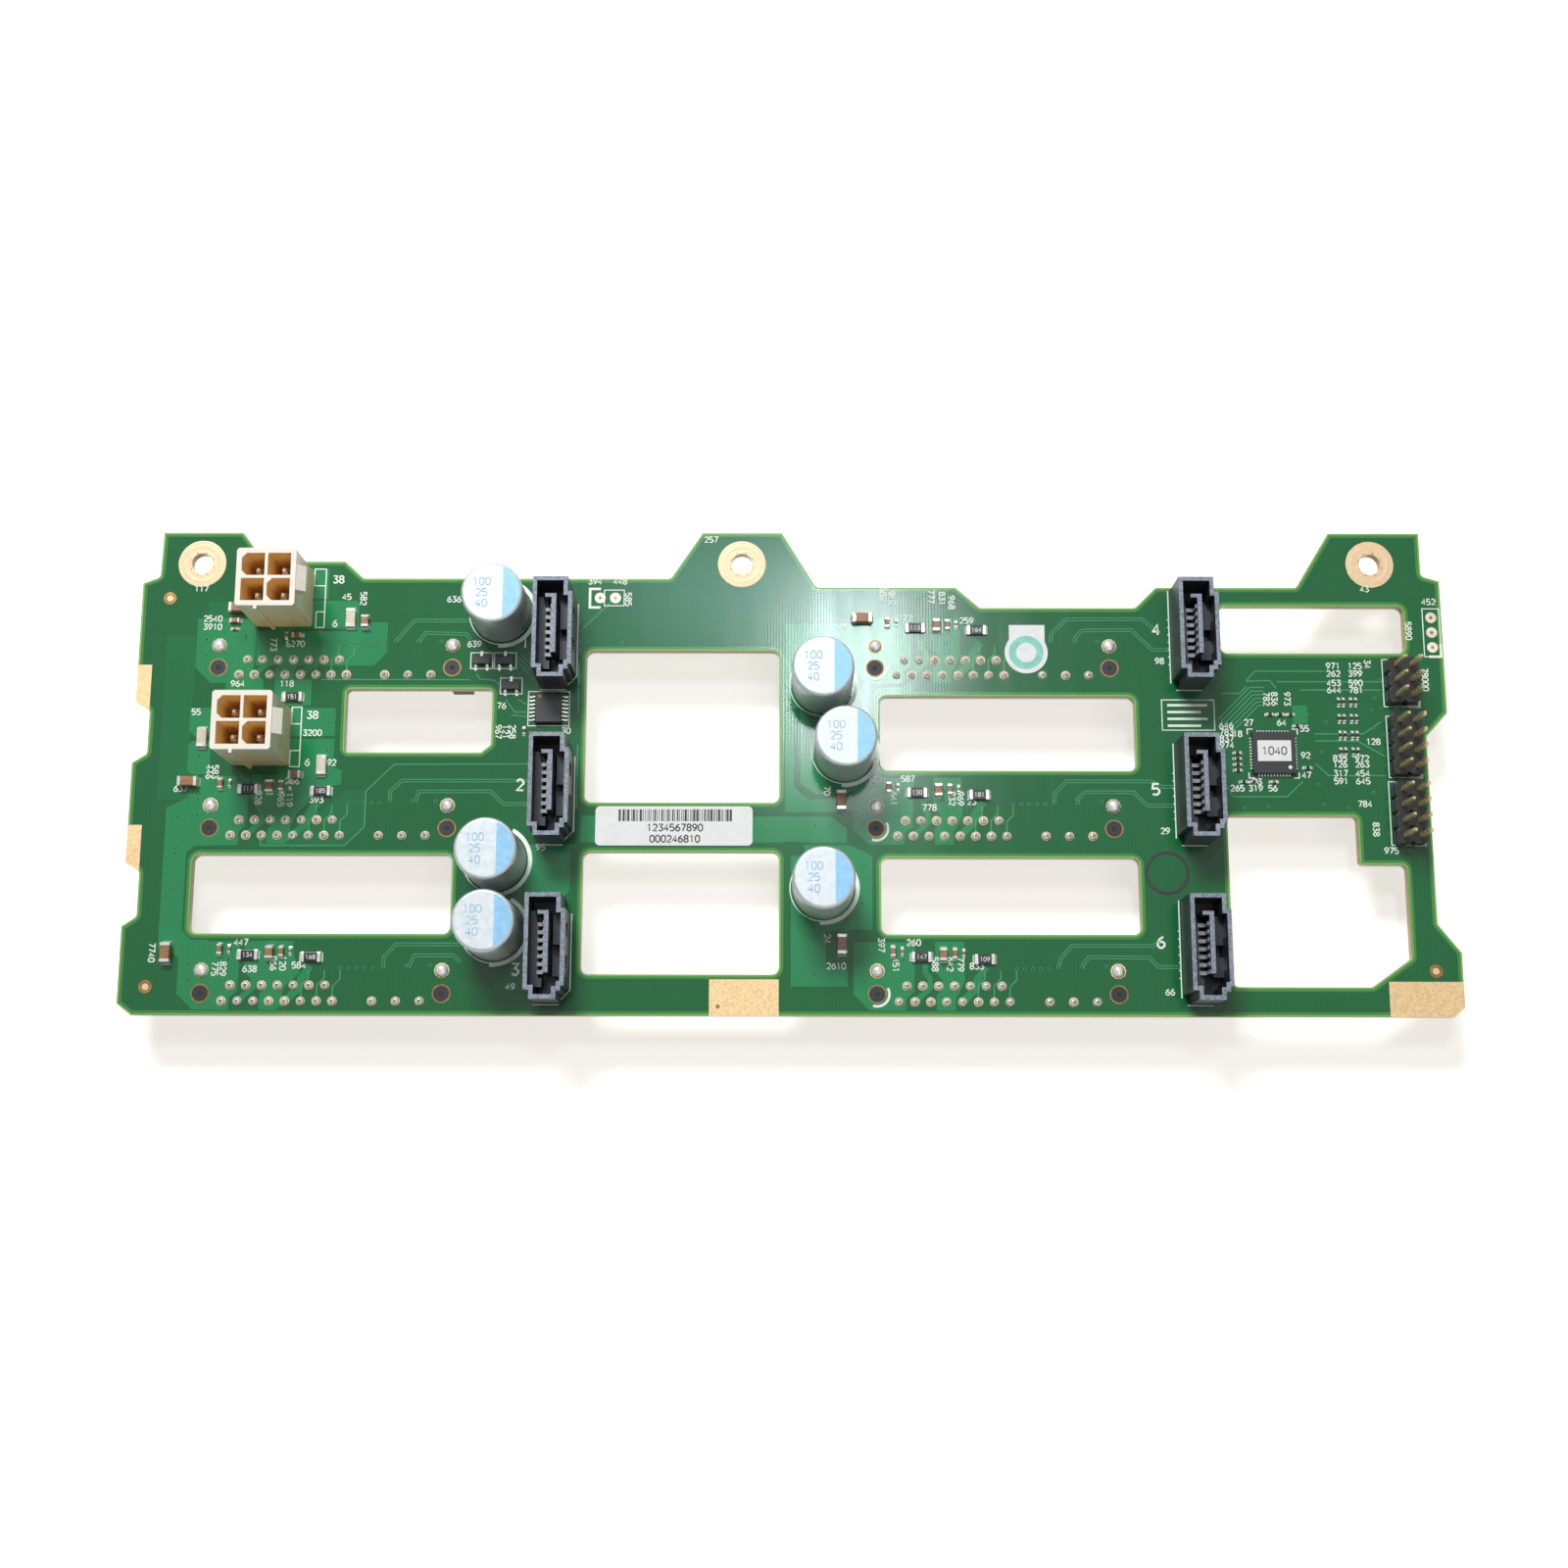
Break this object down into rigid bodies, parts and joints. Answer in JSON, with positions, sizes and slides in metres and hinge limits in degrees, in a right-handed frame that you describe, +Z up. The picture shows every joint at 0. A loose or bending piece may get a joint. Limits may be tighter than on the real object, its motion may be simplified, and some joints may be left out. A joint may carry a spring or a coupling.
{
  "type": "drive backplane board",
  "caption": "Green drive backplane board with cable side sockets, power inlets, capacitors, pin headers and air windows, lying on the drive sockets under it.",
  "frame": {"origin": "under the middle of the board's outline, in the plane that it lies on: the mouths of the drive sockets", "axes": "+X along the board, to the right in the picture; +Y across the board, towards the screw holes; +Z up, out of the cable side"},
  "size_m": [0.216, 0.0808, 0.0234],
  "materials": {
    "board": "green solder mask over copper",
    "gold_land": "bare gold plated copper",
    "solder": "bright solder",
    "drive_housing": "satin",
    "gold_contact": "gold plated",
    "data_housing": "satin",
    "power_housing": "satin",
    "tinned_pin": "tin plated",
    "header_housing": "satin",
    "can": "satin",
    "package": "matt",
    "ceramic": "matt",
    "resistor": "glazed",
    "fuse": "matt",
    "paper": "matt",
    "sticker": "matt",
    "lamp": "clear"
  },
  "bodies": {
    "root": {"bare_lands": "gold_land", "bottom_left_can": "can", "cable_side_solder": "solder", "can_leads": "tinned_pin", "centre_can": "can", "ceramic_capacitors": "ceramic", "chip_end_caps": "solder", "chip_resistors": "resistor", "circuit_board": "board", "controller_body": "package", "controller_label": "paper", "controller_leads": "tinned_pin", "data_contacts_0": "gold_contact", "data_contacts_1": "gold_contact", "data_contacts_2": "gold_contact", "data_contacts_3": "gold_contact", "data_contacts_4": "gold_contact", "data_contacts_5": "gold_contact", "data_socket_0": "data_housing", "data_socket_1": "data_housing", "data_socket_2": "data_housing", "data_socket_3": "data_housing", "data_socket_4": "data_housing", "data_socket_5": "data_housing", "diode_bodies": "package", "diode_leads": "tinned_pin", "drive_contacts_0": "gold_contact", "drive_contacts_1": "gold_contact", "drive_contacts_2": "gold_contact", "drive_contacts_3": "gold_contact", "drive_contacts_4": "gold_contact", "drive_contacts_5": "gold_contact", "drive_side_solder": "solder", "drive_socket_0": "drive_housing", "drive_socket_1": "drive_housing", "drive_socket_2": "drive_housing", "drive_socket_3": "drive_housing", "drive_socket_4": "drive_housing", "drive_socket_5": "drive_housing", "driver_body": "package", "driver_leads": "tinned_pin", "first_signal_header": "header_housing", "header_pins": "tinned_pin", "inspection_sticker": "sticker", "lower_left_can": "can", "lower_middle_can": "can", "lower_power_pins": "tinned_pin", "lower_power_socket": "power_housing", "mounting_lands": "gold_land", "second_signal_header": "header_housing", "serial_label": "paper", "status_lamps": "lamp", "surface_fuses": "fuse", "upgrade_header": "header_housing", "upper_left_can": "can", "upper_middle_can": "can", "upper_power_pins": "tinned_pin", "upper_power_socket": "power_housing"}
  },
  "joints": []
}
